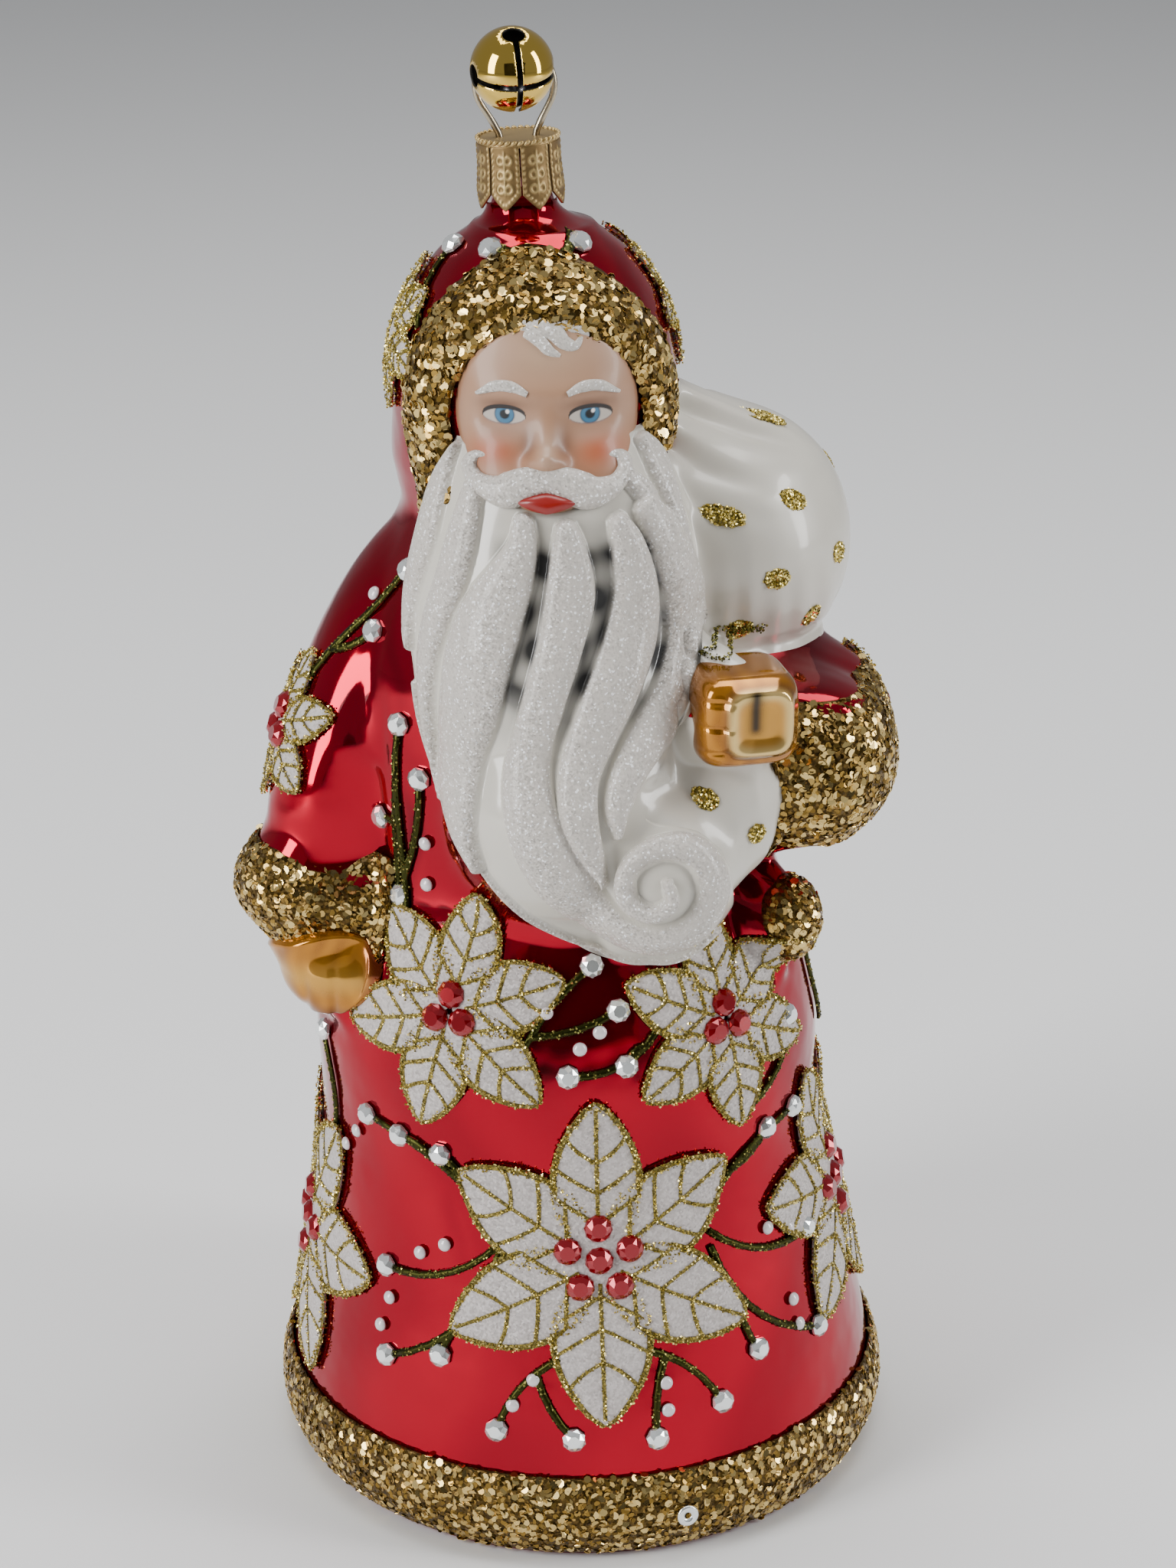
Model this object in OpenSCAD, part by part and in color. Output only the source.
// Blown-glass Father Christmas ornament with a jingle bell on its hanger.
// X runs to the viewer's right, Y to the back and Z up; the origin is the middle of the base.

/* [Figure] */
// Height of the glass figure, from its base to the foot of the neck
figure_h = 168; // [130:1:210]
// Width of the glass figure across the hem of the robe
figure_w = 81; // [64:1:100]
// Depth of the glass figure, front to back, across the hem of the robe
figure_d = 80; // [64:1:98]
// Thickness of the blown glass
glass_wall = 1.1; // [0.7:0.1:1.6]

/* [Neck and cap] */
// Outer radius of the glass neck
neck_r = 4.2; // [3.4:0.1:5.2]
// Thickness of the neck's glass
neck_wall = 1.0; // [0.6:0.1:1.3]
// Length of the neck above the figure
neck_h = 7.8; // [7:0.1:12]
// Lean of the neck and cap to the viewer's left, in degrees
neck_tilt = 3; // [0:0.5:8]
// Thickness of the cap's sheet metal
cap_sheet = 0.35; // [0.25:0.05:0.5]
// Gap between the neck and the cap's skirt
cap_gap = 0.45; // [0.3:0.05:0.8]
// How far the cap's petals flare out at their tips
cap_flare = 0.55; // [0.2:0.05:0.9]
// Number of petals round the cap
cap_petals = 8; // [6:1:12]
// Width of the slits between the petals
petal_slit = 0.35; // [0.2:0.05:0.6]

/* [Hanger] */
// Diameter of the hanger wire
wire_d = 0.9; // [0.6:0.05:1.1]
// Radius of the loop, to the middle of the wire
loop_r = 4.7; // [4.2:0.1:6]
// Distance between the wire's legs where they pass through the cap
leg_gap = 4.0; // [3.2:0.1:4.4]
// Gap round the wire in the cap's holes
leg_clearance = 0.3; // [0.15:0.05:0.5]

/* [Jingle bell] */
// Diameter of the bell
bell_d = 10; // [8:0.5:11]
// Thickness of the bell's sheet metal
bell_sheet = 0.35; // [0.25:0.05:0.6]
// Width of the crossed slots
bell_slot = 0.7; // [0.4:0.05:1]
// Radius of the round ends of the slots
bell_keyhole_r = 1.35; // [0.9:0.05:1.6]
// Diameter of the clapper ball
clapper_d = 3.4; // [2.8:0.1:4.5]
// Diameter of the shank's wire
shank_d = 0.6; // [0.4:0.05:0.8]
// Gap between the shank's eye and the hanger wire
shank_clearance = 0.42; // [0.25:0.02:0.6]
// Droop of the bell in front of the loop, in degrees
bell_droop = 18; // [5:1:35]
// Turn of the bell's slots to the viewer's right, in degrees
bell_turn = 12; // [-30:1:30]

/* [Glitter trims] */
// Height of the hem's glitter band
hem_band = 12; // [8:0.5:18]
// Width of the glitter roll round the hood
hood_band = 8.6; // [5:0.2:10]
// Thickness of the glitter coats
coat = 1.0; // [0.6:0.1:1.6]
// Thickness of the painted flowers and stems
paint = 0.35; // [0.2:0.05:0.6]

/* [Stones] */
// Diameter of the clear crystal stones
crystal_d = 3.1; // [2:0.1:4]
// Diameter of the small pearl dots
pearl_d = 1.8; // [1:0.1:2.4]
// Diameter of the red cabochons
ruby_d = 3.4; // [2:0.1:3.8]

/* [Hidden] */
$fn = 48;

// ---- The figure's skin: one radius for each direction and height --------------------------------

// The blobs below are drawn for this size and stretched to the figure's own.
drawn = [81, 80, 168];
stretch = [figure_w / drawn.x, figure_d / drawn.y, figure_h / drawn.z];

// Robe, as [height, radius], hem first.
robe = [
    [0, 37.5], [2.5, 40.2], [7, 40.5], [12, 39.9], [22, 38.0], [36, 35.2], [49, 33.2], [62, 33.6],
    [73, 31.5], [84, 27.6], [97, 27.0], [112, 26.0], [122, 22.5], [132, 16.5], [142, 12.0], [168, 4.0]
];
robe_x = [[0, 0], [30, -0.4], [50, -1.8], [80, -2.6], [120, -4.5], [168, -7.2]];
robe_depth = [[0, 1], [20, 0.99], [50, 0.94], [84, 0.9], [168, 0.9]];

// Swellings, as [centre x, y, z, radius x, y, z, lean of x and of y with height].
BLOBS = [
    [-3.5, 1, 104, 28.5, 23, 28, 0, 0],              // chest and shoulders
    [-28.5, -4, 104, 9.2, 10, 25, 0.33, 0.2],        // right sleeve
    [-32.8, -7, 81.5, 10.6, 10.5, 8.2, 0, 0],        // right cuff
    [-31.4, -11, 72.5, 6.4, 6.6, 6, 0, 0],           // right hand
    [30.5, -3, 100, 8.4, 11, 13, 0, 0],              // left sleeve at the elbow
    [28.6, -13, 101, 9.4, 9.5, 12, 0, 0],            // left cuff
    [18.4, -21, 110.5, 6.4, 8, 6.6, 0, 0],           // left hand
    [17, 4, 124.5, 17, 17.5, 17.6, 0, 0],            // sack
    [17, -18.5, 98, 8.4, 8.5, 10.5, 0, 0],           // sack below the hand
    [-5.8, -1, 146, 18, 18.5, 22, 0, 0],             // hood
    [-7, 1, 137, 17, 16.5, 12, 0, 0],                // hood over the shoulders
    [-4, -8, 147, 12.5, 12.5, 16, 0, 0],             // face
    [-3.2, -12, 127, 16.8, 14.5, 20, 0, 0],          // beard under the chin
    [-2.2, -15, 110, 16.4, 15.5, 24, -0.2, 0.05],    // long beard
    [9.6, -20.5, 91, 10.4, 15, 11, 0, 0],            // curl of the beard
    [-2, -19, 97, 14.5, 15, 15, 0, 0],               // tip of the beard
    [26, -14, 79.5, 4.4, 4.6, 5.6, 0, 0]             // pompom on the hood's tail
];

// Sharpness of the fillets between the swellings.
FILLET = 18;
// Middle of the slices, from which the radii are measured.
axis_x = [[0, 0], [60, -1], [95, -2], [130, -5], [168, -7.2]];

COLUMNS = 84;
ROWS = 56;
INNER_COLUMNS = COLUMNS / 2;

function total(v) = v * [for (i = v) 1];
function ease(t) = t * t * (3 - 2 * t);
// Smooth reading of a [height, value] table, like lookup() with rounded corners.
function smooth_lookup(z, t, reach = 2.2) = (lookup(z - reach, t) + lookup(z, t) + lookup(z + reach, t)) / 3;

// Distance from the slice's middle to the far side of a swelling, in direction d.
function blob_reach(o, d, z, b) =
    let (
        p = [(o.x - b[0] - b[6] * (z - b[2])) / b[3], (o.y - b[1] - b[7] * (z - b[2])) / b[4], (z - b[2]) / b[5]],
        q = [d.x / b[3], d.y / b[4]],
        a = q * q,
        h = p.x * q.x + p.y * q.y,
        disc = h * h - a * (p * p - 1)
    )
    disc <= 0 ? 0 : max(0, (sqrt(disc) - h) / a);

// Distance to the robe, an ellipse at each height.
function robe_reach(o, d, z) =
    let (
        r = smooth_lookup(z, robe),
        depth = lookup(z, robe_depth),
        p = [o.x - lookup(z, robe_x), o.y / depth] / r,
        q = [d.x, d.y / depth] / r,
        a = q * q,
        h = p * q
    )
    (sqrt(max(0, h * h - a * (p * p - 1))) - h) / a;

// Radius of the skin at an azimuth and a drawn height.
function reach(azimuth, z) =
    let (
        o = [lookup(z, axis_x), 0],
        d = [cos(azimuth), sin(azimuth)],
        parts = [robe_reach(o, d, z), for (b = BLOBS) if (abs(z - b[2]) < b[5]) blob_reach(o, d, z, b)],
        top = max(parts)
    )
    top * pow(total([for (r = parts) pow(r / top, FILLET)]), 1 / FILLET);

function placed(azimuth, z, r) = [
    (lookup(z, axis_x) + r * cos(azimuth)) * stretch.x,
    r * sin(azimuth) * stretch.y,
    z * stretch.z
];
function unit(v) = v / norm(v);
function skin(azimuth, z) = placed(azimuth, z, reach(azimuth, z));
// Outward direction of the skin.
function skin_normal(azimuth, z) = unit(cross(
    skin(azimuth + 1.5, z) - skin(azimuth - 1.5, z),
    skin(azimuth, z + 0.8) - skin(azimuth, z - 0.8)
));
// A point outside the skin, straight out from the slice's middle.
function lifted(at, lift) = placed(at.x, at.y, reach(at.x, at.y) + lift);

// ---- Neck frame ---------------------------------------------------------------------------------

neck_foot = [-7.2 * stretch.x, -0.8 * stretch.y, figure_h];
skin_top = (figure_h - 2.2) / stretch.z;

module on_neck() {
    translate(neck_foot) rotate([0, -neck_tilt, 0]) children();
}
// A ring of n points round the neck's axis.
function neck_ring(r, n) = [
    for (i = [0 : n - 1])
        let (a = i * 360 / n)
        neck_foot + [r * cos(a) * cos(neck_tilt), r * sin(a), r * cos(a) * sin(neck_tilt)]
];

// ---- Shapes made of rings of points -------------------------------------------------------------

// Quads between two neighbouring rings of n points, the first of which starts at index a.
function ring_faces(a, b, n, closed = true) = [
    for (i = [0 : n - (closed ? 1 : 2)]) let (j = (i + 1) % n) [a + i, b + i, b + j, a + j]
];

// Heights of the slices: closer together at the hem.
function row_height(i) = i == 0 ? 0 : skin_top * pow(i / (ROWS - 1), 1.02);

module glass_body() {
    radii = [
        for (i = [0 : ROWS - 1])
            [for (j = [0 : COLUMNS - 1]) reach(j * 360 / COLUMNS, row_height(i))]
    ];
    outer = [
        for (i = [0 : ROWS - 1])
            [for (j = [0 : COLUMNS - 1]) placed(j * 360 / COLUMNS, row_height(i), radii[i][j])],
        neck_ring(neck_r, COLUMNS)
    ];
    // The inner wall follows the thinnest radius nearby, so that the glass is nowhere too thin.
    inner = [
        for (i = [1 : 2 : ROWS - 2])
            [
                for (j = [0 : 2 : COLUMNS - 1])
                    let (
                        near = [
                            for (di = [-2 : 2]) for (dj = [-2 : 2])
                                radii[max(1, min(ROWS - 1, i + di))][(j + dj + COLUMNS) % COLUMNS]
                        ],
                        p = placed(j * 360 / COLUMNS, row_height(i), min(near) - glass_wall)
                    )
                    i == 1 ? [p.x, p.y, glass_wall] : p
            ],
        neck_ring(neck_r - neck_wall, INNER_COLUMNS)
    ];
    rim = (len(outer) - 1) * COLUMNS;
    cavity = len(outer) * COLUMNS;
    inner_rim = cavity + (len(inner) - 1) * INNER_COLUMNS;
    color("crimson") polyhedron(
        points = [for (rings = [outer, inner]) for (r = rings) for (p = r) p],
        faces = concat(
            [[for (j = [0 : COLUMNS - 1]) j]],
            [for (i = [0 : len(outer) - 2]) for (f = ring_faces(i * COLUMNS, (i + 1) * COLUMNS, COLUMNS)) f],
            // The rim, where two outer points meet each inner one.
            [
                for (j = [0 : INNER_COLUMNS - 1])
                    let (k = (j + 1) % INNER_COLUMNS, mid = rim + 2 * j + 1)
                    each [
                        [rim + 2 * j, inner_rim + j, mid],
                        [inner_rim + j, inner_rim + k, mid],
                        [mid, inner_rim + k, rim + 2 * k]
                    ]
            ],
            [
                for (i = [0 : len(inner) - 2])
                    for (f = ring_faces(
                        cavity + (i + 1) * INNER_COLUMNS, cavity + i * INNER_COLUMNS, INNER_COLUMNS
                    )) f
            ],
            [[for (j = [INNER_COLUMNS - 1 : -1 : 0]) cavity + j]]
        ),
        convexity = 8
    );
}

module glass_neck() {
    color("mistyrose") on_neck() difference() {
        cylinder(r = neck_r, h = neck_h);
        translate([0, 0, -1]) cylinder(r = neck_r - neck_wall, h = neck_h + 2);
    }
}

// ---- Cap ----------------------------------------------------------------------------------------

seat_gap = 0.05;
cap_top = neck_h + seat_gap + cap_sheet;
skirt_r = neck_r + cap_gap + cap_sheet;
skirt_foot = 0.9;
petal_point = 1.9;
slit_phase = 273;
flare_top = cap_top - 3;
slit_top = cap_top - 2.2;
rim_d = 0.8;
leg_hole_r = wire_d / 2 + leg_clearance;

module cap_crown() {
    tip_r = skirt_r + cap_flare;
    color("darkkhaki") on_neck() difference() {
        rotate([0, 0, slit_phase + 180 / cap_petals]) union() {
            rotate_extrude() polygon([
                [0, cap_top], [0, cap_top - cap_sheet], [skirt_r - cap_sheet, cap_top - cap_sheet],
                [skirt_r - cap_sheet, flare_top], [tip_r - cap_sheet, skirt_foot], [tip_r, skirt_foot],
                [skirt_r, flare_top], [skirt_r, cap_top]
            ]);
            translate([0, 0, cap_top - rim_d / 2 + 0.1])
                rotate_extrude() translate([skirt_r - 0.25, 0]) circle(d = rim_d);
        }
        for (side = [-1, 1])
            translate([side * leg_gap / 2, 0, cap_top - 2]) cylinder(r = leg_hole_r, h = 3);
        // Slits, and the notches that leave each petal a pointed tip.
        for (i = [0 : cap_petals - 1]) rotate([0, 0, slit_phase + i * 360 / cap_petals]) {
            translate([skirt_r - 2 * cap_sheet, -petal_slit / 2, -1])
                cube([cap_flare + 3 * cap_sheet + 1, petal_slit, slit_top + 1]);
            notch = PI * skirt_r / cap_petals;
            translate([skirt_r - 2 * cap_sheet, 0, skirt_foot - 0.01])
                rotate([90, 0, 90])
                    linear_extrude(cap_flare + 3 * cap_sheet + 1)
                        polygon([[-notch, -0.5], [notch, -0.5], [notch * 0.9, 0], [0, petal_point], [-notch * 0.9, 0]]);
        }
    }
}

// ---- Hanger and bell ----------------------------------------------------------------------------

loop_centre = cap_top + 6.05;
pivot_z = loop_centre + loop_r;
// The legs go straight through the neck, and spread below it where the head is wide enough.
leg_knee = neck_r - neck_wall - wire_d / 2 - leg_clearance;
leg_shoulder = 8.5 * stretch.z;
leg_depth = leg_shoulder + 13.5;
leg_spread = 8.5 * stretch.x;

// Tangent of the straight leg to the loop: the angle from the loop's lowest point.
leg_rise = loop_centre - cap_top;
leg_distance = norm([leg_gap / 2, leg_rise]);
tangent_angle = acos(loop_r / leg_distance) + atan2(leg_gap / 2, leg_rise);
LOOP_STEPS = 30;
WIRE_SIDES = 10;

wire_route = concat(
    [
        [-leg_spread - 0.8, -leg_depth + 2.4], [-leg_spread, -leg_depth], [-leg_spread + 1.2, -leg_depth + 2],
        [-leg_knee - 0.4, -leg_shoulder], [-leg_knee, 0], [-leg_gap / 2, neck_h - 1.5], [-leg_gap / 2, cap_top + 0.3]
    ],
    [
        for (i = [0 : LOOP_STEPS])
            let (a = -90 - tangent_angle - i * (360 - 2 * tangent_angle) / LOOP_STEPS)
            [loop_r * cos(a), loop_centre + loop_r * sin(a)]
    ],
    [
        [leg_gap / 2, cap_top + 0.3], [leg_gap / 2, neck_h - 1.5], [leg_knee, 0], [leg_knee + 0.4, -leg_shoulder],
        [leg_spread - 1.2, -leg_depth + 2], [leg_spread, -leg_depth], [leg_spread + 0.8, -leg_depth + 2.4]
    ]
);

// A round tube along a flat route of [x, z] points.
module flat_tube(route, d, sides) {
    n = len(route);
    rings = [
        for (i = [0 : n - 1])
            let (
                along = unit(route[min(n - 1, i + 1)] - route[max(0, i - 1)]),
                across = [along.y, -along.x]
            )
            for (k = [0 : sides - 1])
                let (a = k * 360 / sides)
                [
                    route[i].x + across.x * cos(a) * d / 2,
                    sin(a) * d / 2,
                    route[i].y + across.y * cos(a) * d / 2
                ]
    ];
    polyhedron(
        points = rings,
        faces = concat(
            [[for (k = [sides - 1 : -1 : 0]) k]],
            [for (i = [0 : n - 2]) for (f = ring_faces(i * sides, (i + 1) * sides, sides)) [f[3], f[2], f[1], f[0]]],
            [[for (k = [0 : sides - 1]) (n - 1) * sides + k]]
        ),
        convexity = 6
    );
}

module hanger_wire() {
    color("silver") on_neck() flat_tube(wire_route, wire_d, WIRE_SIDES);
}

// The shank's eye goes round the loop at its top, and the bell sits in front of it.
eye_r = wire_d / 2 + shank_clearance + shank_d / 2;
bell_reach = bell_d / 2 + eye_r - 0.2;
keyhole_angle = 80;

// Places children at the bell's middle, with Z along its axis, from the shank to the slots' crossing.
module on_bell(turn = 0) {
    on_neck() translate([0, 0, pivot_z]) rotate([90 + bell_droop, 0, 0]) translate([0, 0, bell_reach])
        rotate([-90 - bell_droop, 0, 0]) rotate([0, 0, turn]) rotate([90 + bell_droop, 0, 0]) children();
}

module bell_shell() {
    r = bell_d / 2;
    color("goldenrod") on_bell(bell_turn) difference() {
        sphere(r = r);
        sphere(r = r - bell_sheet);
        for (turn = [0, 90]) rotate([0, 0, turn]) {
            translate([-r, -bell_slot / 2, r * cos(keyhole_angle)]) cube([2 * r, bell_slot, r]);
            for (side = [-1, 1])
                rotate([0, side * keyhole_angle, 0]) cylinder(r = bell_keyhole_r, h = r + 1);
        }
    }
}

module bell_shank() {
    color("gold") difference() {
        on_neck() translate([0, 0, pivot_z]) rotate([0, 90, 0])
            rotate_extrude() translate([eye_r, 0]) circle(d = shank_d);
        on_bell() sphere(r = bell_d / 2);
    }
}

clapper_gap = 0.1;
module bell_clapper() {
    drop = bell_d / 2 - bell_sheet - clapper_d / 2 - clapper_gap;
    color("dimgray") on_bell() rotate([-90 - bell_droop, 0, 0]) translate([0, 0, -drop]) sphere(d = clapper_d);
}

// ---- Plates that lie on the skin ----------------------------------------------------------------

// Degrees of azimuth in one millimetre round the figure at a point [azimuth, height].
function degrees_per_mm(at) =
    180 / PI / reach(at.x, at.y) / norm([sin(at.x) * stretch.x, cos(at.x) * stretch.y]);
// The skin point that lies a flat offset of [sideways, up] away from a centre.
function offset_on_skin(at, d) = [at.x + d.x * degrees_per_mm(at), at.y + d.y / stretch.z];

// A plate round a centre on the skin. edge is a list of flat offsets from the centre, and the plate is
// as thick as t in the middle, rounding off to its edge.
module plate(at, edge, t, steps = 3, sink = 0.15, rim = 0.35) {
    n = len(edge);
    function thickness(s) = t * max(rim, sqrt(max(0, 1 - s * s)));
    function ring(s, lift) = [for (e = edge) lifted(offset_on_skin(at, e * s), lift)];
    layers = concat(
        [for (k = [1 : steps]) ring(k / steps, thickness(k / steps))],
        [for (k = [steps : -1 : 1]) ring(k / steps, -sink)]
    );
    m = 2 * steps;
    top = m * n;
    polyhedron(
        points = concat([for (l = layers) for (p = l) p], [lifted(at, t), lifted(at, -sink)]),
        faces = concat(
            [for (j = [0 : n - 1]) [top, (j + 1) % n, j]],
            [for (k = [0 : m - 2]) for (f = ring_faces(k * n, (k + 1) * n, n)) [f[3], f[2], f[1], f[0]]],
            [for (j = [0 : n - 1]) [top + 1, (m - 1) * n + j, (m - 1) * n + (j + 1) % n]]
        ),
        convexity = 4
    );
}

function oval(w, h, n = 24) = [for (i = [0 : n - 1]) [w / 2 * cos(i * 360 / n), h / 2 * sin(i * 360 / n)]];

// A raised band along a route of [azimuth, height] points, rounding off to both its edges.
module band(route, width, t, closed = false, across = 4, sink = 0.2) {
    n = len(route);
    points = [
        for (i = [0 : n - 1])
            let (
                a = route[closed ? (i - 1 + n) % n : max(0, i - 1)],
                b = route[closed ? (i + 1) % n : min(n - 1, i + 1)],
                here = route[i],
                per_mm = degrees_per_mm(here),
                turn = closed ? round((b.x - a.x) / 360) * 360 : 0,
                along = unit([(b.x - a.x - turn) / per_mm, (b.y - a.y) * stretch.z]),
                side = [-along.y, along.x]
            )
            each concat(
                [
                    for (k = [0 : across])
                        let (s = 2 * k / across - 1)
                        lifted(offset_on_skin(here, side * s * width / 2), t * max(0.3, sqrt(1 - s * s)))
                ],
                [
                    for (k = [across : -2 : 0])
                        let (s = 2 * k / across - 1)
                        lifted(offset_on_skin(here, side * s * width / 2), -sink)
                ]
            )
    ];
    m = across + 1 + across / 2 + 1;
    polyhedron(
        points = points,
        faces = concat(
            [
                for (i = [0 : n - (closed ? 1 : 2)])
                    for (f = ring_faces(i * m, ((i + 1) % n) * m, m)) [f[3], f[2], f[1], f[0]]
            ],
            closed ? [] : [[for (k = [m - 1 : -1 : 0]) k], [for (k = [0 : m - 1]) (n - 1) * m + k]]
        ),
        convexity = 4
    );
}

hem_foot = 0.6;
module hem_trim() {
    mid = (hem_foot + hem_band / 2) / stretch.z;
    color("darkgoldenrod") band([for (i = [0 : COLUMNS - 1]) [i * 360 / COLUMNS, mid]], hem_band, coat, closed = true);
}

// The hood's roll arches over the face, lower on the figure's right than on its left.
face_at = [-84, 144];
hood_arch = [49, 17];
module hood_trim() {
    steps = 26;
    color("darkgoldenrod") band(
        [
            for (i = [0 : steps])
                let (a = 210 - i * 218 / steps)
                face_at + [hood_arch.x * cos(a), hood_arch.y * sign(sin(a)) * pow(abs(sin(a)), 0.8)]
        ],
        hood_band, coat * 1.6
    );
}

// The cuffs' rolls, as [first azimuth, last azimuth, height, width].
right_cuff = [148, 218, 81.5, 14];
left_cuff = [-41, 24, 100.5, 20];
module cuff(c) {
    steps = 18;
    color("darkgoldenrod")
        band([for (i = [0 : steps]) [c[0] + i * (c[1] - c[0]) / steps, c[2]]], c[3], coat, across = 8);
}
module right_cuff_trim() { cuff(right_cuff); }
module left_cuff_trim() { cuff(left_cuff); }
pompom_at = [-28, 79.5];
module tail_pompom_trim() { color("darkgoldenrod") plate(pompom_at, oval(9.2, 10.4), coat * 0.8); }

// ---- Poinsettias --------------------------------------------------------------------------------

// Flowers, as [azimuth, height, petal length, turn of the first petal, number of stones].
FRONT_FLOWERS = [[-85, 40.5, 21, 90, 6], [-120, 72, 15.5, 78, 3], [-50, 69.5, 14.5, 94, 3]];
SIDE_FLOWERS = [[189, 32, 20, 60, 5], [-11, 38.5, 19, 110, 5]];
BACK_FLOWERS = [[88, 41, 21, 90, 6], [124, 74, 15, 98, 3], [54, 74, 15, 82, 3]];
SLEEVE_FLOWERS = [[190, 103, 10, 20, 3], [2, 101, 10, 150, 3]];
HOOD_FLOWERS = [[192, 153, 9, 40, 3], [14, 156, 8.5, 130, 3]];
PETALS = 6;
POINTS_PER_PETAL = 8;

// The flowers shrink with the figure's smallest stretch, so that they keep their room between the trims.
pattern = min(stretch.x, stretch.y, stretch.z);

// Edge of a flower: pointed petals with a curved side, and valleys between them.
function flower_edge(f) = [
    for (i = [0 : PETALS * POINTS_PER_PETAL - 1])
        let (
            a = i * 360 / (PETALS * POINTS_PER_PETAL),
            t = abs(((a * PETALS / 360 + 0.5) % 1) - 0.5) * 2,
            r = f[2] * pattern * (1 - 0.5 * pow(t, 1.15))
        )
        r * [cos(a + f[3]), sin(a + f[3])]
];

module flowers(list) {
    color("ghostwhite") for (f = list) plate([f[0], f[1]], flower_edge(f), paint, steps = 2, rim = 0.8);
}

module front_poinsettias() { flowers(FRONT_FLOWERS); }
module side_poinsettias() { flowers(SIDE_FLOWERS); }
module back_poinsettias() { flowers(BACK_FLOWERS); }
module sleeve_poinsettias() { flowers(SLEEVE_FLOWERS); }
module hood_poinsettias() { flowers(HOOD_FLOWERS); }

// ---- Berry sprigs -------------------------------------------------------------------------------

// Sprigs, as [root, tip, bow of the stem, tips of its twigs], each place an [azimuth, height].
SPRIGS = [
    [[-104, 65], [-84, 78.5], 1.6, [[-78, 73]]],
    [[-66, 72], [-91, 65], 2.2, [[-77, 66]]],
    [[-49, 56], [-28, 66], -2, []],
    [[-59, 45], [-28, 53], 2, [[-39, 52.5]]],
    [[-59, 42], [-30, 36.5], -2, []],
    [[-59, 40], [-33, 23.5], -3, [[-51, 25]]],
    [[-79, 29], [-61, 20], 1.8, [[-75, 17]]],
    [[-93, 28], [-106, 18], -1.5, [[-91, 17.5]]],
    [[-107, 41], [-132, 23.5], 3, [[-119, 26]]],
    [[-107, 42], [-135, 35], 2, []],
    [[-107, 44], [-143, 54.5], -2.5, [[-122, 52.5], [-133, 53.5]]],
    [[-158, 48], [-162, 62], -1.5, []],
    [[-135, 78], [-138, 107], 2, [[-132, 100.5], [-148, 93.5], [-141, 84]]],
    [[-166, 108], [-146, 125], 1.6, [[-153, 117]]],
    [[-95, 162], [-50, 166], -0.6, [[-112, 164.5]]],
    [[-142, 155], [-150, 164], 0.8, []],
    [[-5, 60], [-8, 76], 1.5, []],
    [[70, 44], [38, 54], 2, [[50, 56]]],
    [[70, 38], [36, 30], -2, [[50, 26]]],
    [[106, 44], [140, 56], -2, [[128, 58]]],
    [[106, 38], [140, 30], 2, [[126, 26]]],
    [[88, 66], [98, 88], -2, [[82, 82]]],
    [[92, 24], [106, 17.5], 1.5, [[92, 16.5]]],
    [[132, 96], [118, 116], 2, [[128, 110]]]
];
// Small dots beside the stems.
PEARLS = [
    [-83, 70.5], [-88, 68.5], [-36, 38], [-43, 39.5], [-39.5, 29], [-39, 25.5], [-72.5, 24], [-72.5, 20.5],
    [-99, 25], [-103, 21.5], [-134.5, 27], [-133, 31], [-126, 38.5], [-120, 40.5], [-147.5, 51], [-152, 48],
    [-131.5, 92], [-131.5, 86.5], [-96, 73], [-158, 121], [48, 50], [44, 46], [44, 35], [58, 32], [128, 50],
    [132, 46], [134, 36], [118, 31], [96, 78], [88, 80], [99, 22], [124, 104]
];
STEM_STEPS = 7;
stem_w = 0.9;

// A flat vector in mm between two places on the skin, and a place that lies so far from another.
function flat_span(a, b) = [(b.x - a.x) / degrees_per_mm(a), (b.y - a.y) * stretch.z];
// Point of a bowed stem from a to b; the bow is to the left of its way.
function bowed(a, b, bow, s) =
    let (v = flat_span(a, b), left = unit([-v.y, v.x]))
    offset_on_skin(a, v * s + left * bow * 4 * s * (1 - s));
// Twigs leave the stem one after another and bend towards their own tips.
function twig_root(g, i) = bowed(g[0], g[1], g[2], 0.3 + 0.22 * i);
TWIG_BOW = -0.6;

module sprig_stems() {
    color("darkolivegreen") for (g = SPRIGS) {
        band([for (i = [0 : STEM_STEPS]) bowed(g[0], g[1], g[2], i / STEM_STEPS)], stem_w, paint, across = 2);
        for (k = [0 : 1 : len(g[3]) - 1])
            band(
                [for (i = [0 : 4]) bowed(twig_root(g, k), g[3][k], TWIG_BOW, i / 4)],
                stem_w, paint, across = 2
            );
    }
}

// ---- Dots and stones ----------------------------------------------------------------------------

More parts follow.
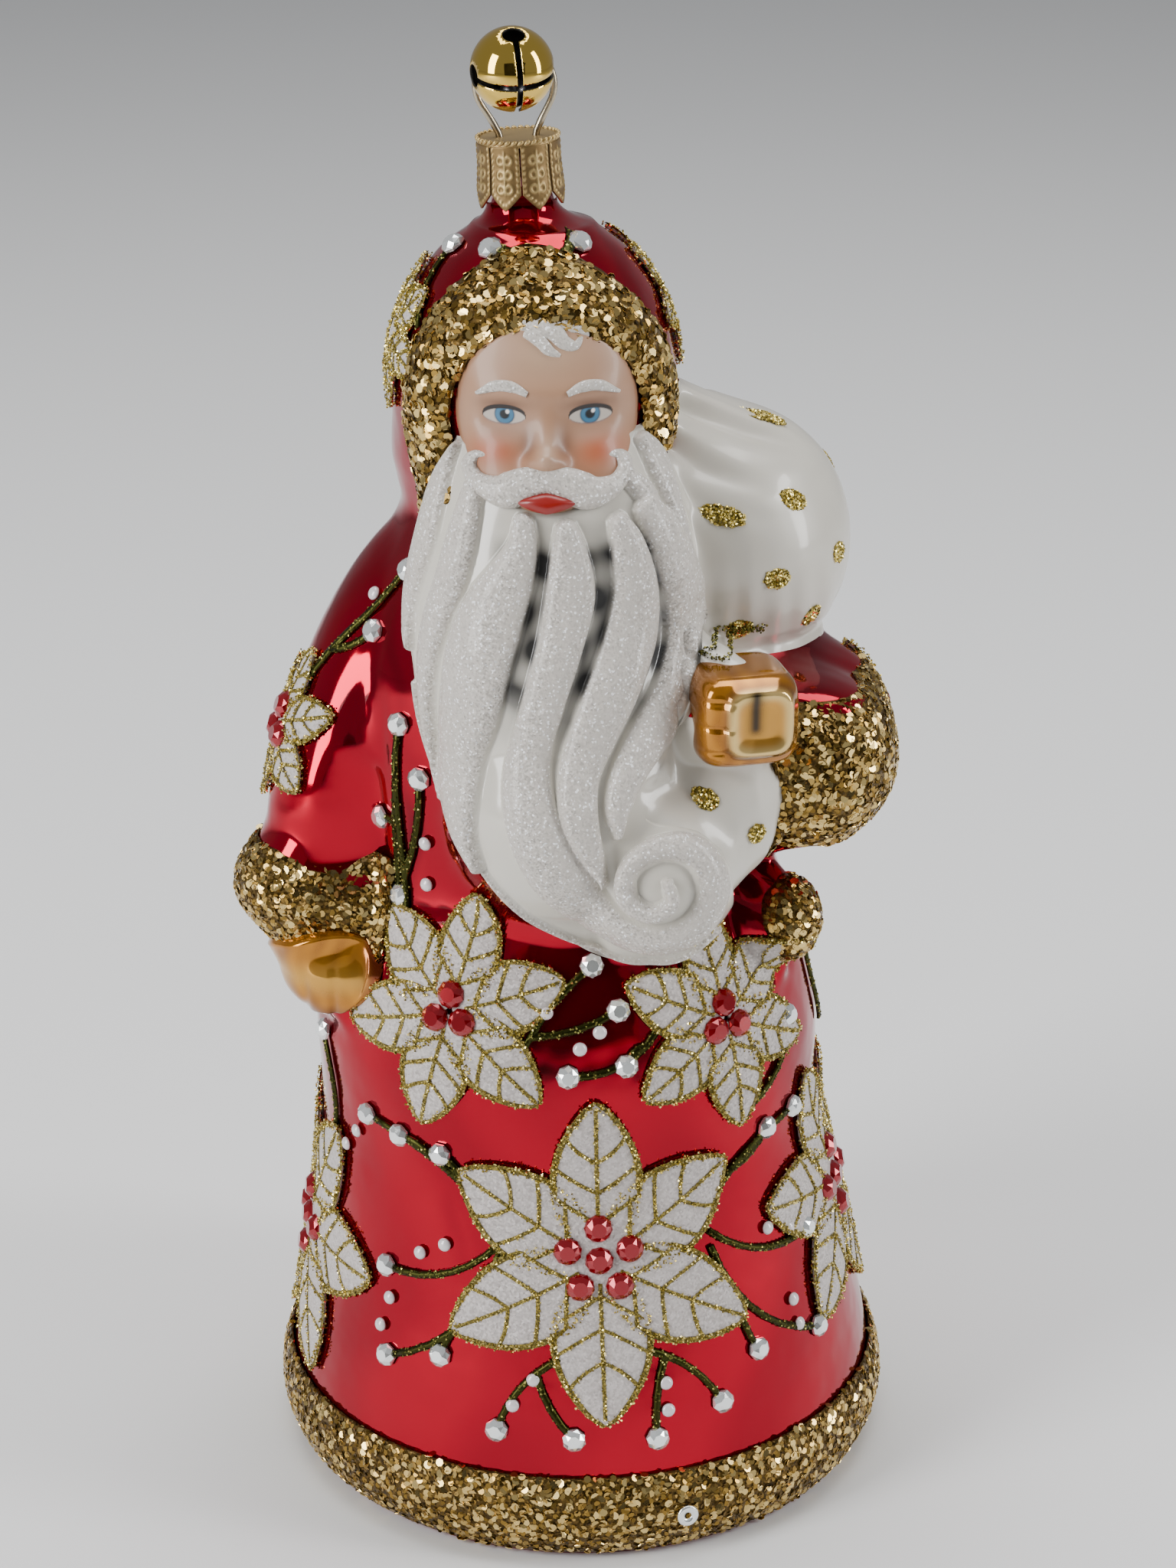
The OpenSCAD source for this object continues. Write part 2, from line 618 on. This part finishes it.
// Gold dots on the sack, as [azimuth, height].
SACK_DOTS = [
    [3, 141], [-28, 132], [-15, 133], [-7, 125], [-23, 124], [-28, 117.5], [-12, 117.5], [-57, 101], [-48, 96],
    [14, 133], [12, 118], [30, 138], [33, 126], [50, 131], [52, 117], [66, 125]
];
module sack_dots() { color("darkgoldenrod") for (d = SACK_DOTS) plate(d, oval(2.6, 2.6, 8), paint, steps = 1, rim = 1); }

module on_skin(at, sink = 0) {
    n = skin_normal(at.x, at.y);
    translate(skin(at.x, at.y) - sink * n) rotate([0, acos(n.z), atan2(n.y, n.x)]) children();
}

// A flat-backed stone: a short girdle, a sloping crown and a flat table.
module stone(d) {
    rotate_extrude() polygon([[0, -0.3], [d / 2, -0.3], [d / 2, 0.25], [d * 0.3, d * 0.36], [0, d * 0.36]]);
}

module crystal_stones() {
    color("white") for (g = SPRIGS) for (at = concat([g[1]], g[3])) on_skin(at) stone(crystal_d);
}

module pearl_dots() {
    color("lavenderblush") for (at = PEARLS) on_skin(at) stone(pearl_d);
}

// Stones in a flower's middle: three in a triangle, or one with the others round it.
function ruby_offset(f, i) =
    f[4] == 3 ? ruby_d * 0.62 * [cos(90 + i * 120), sin(90 + i * 120)]
    : i == 0 ? [0, 0]
    : ruby_d * 1.22 * [cos(90 + (i - 1) * 360 / (f[4] - 1)), sin(90 + (i - 1) * 360 / (f[4] - 1))];
module ruby_stones() {
    color("firebrick") for (f = concat(FRONT_FLOWERS, SIDE_FLOWERS, BACK_FLOWERS, SLEEVE_FLOWERS))
        for (i = [0 : f[4] - 1]) on_skin(offset_on_skin([f[0], f[1]], ruby_offset(f, i))) translate([0, 0, paint]) stone(ruby_d);
}

// ---- Nodes --------------------------------------------------------------------------------------

glass_body();
glass_neck();
cap_crown();
hanger_wire();
bell_shell();
bell_shank();
bell_clapper();
hem_trim();
hood_trim();
right_cuff_trim();
left_cuff_trim();
tail_pompom_trim();
front_poinsettias();
side_poinsettias();
back_poinsettias();
sleeve_poinsettias();
hood_poinsettias();
sprig_stems();
sack_dots();
crystal_stones();
pearl_dots();
ruby_stones();
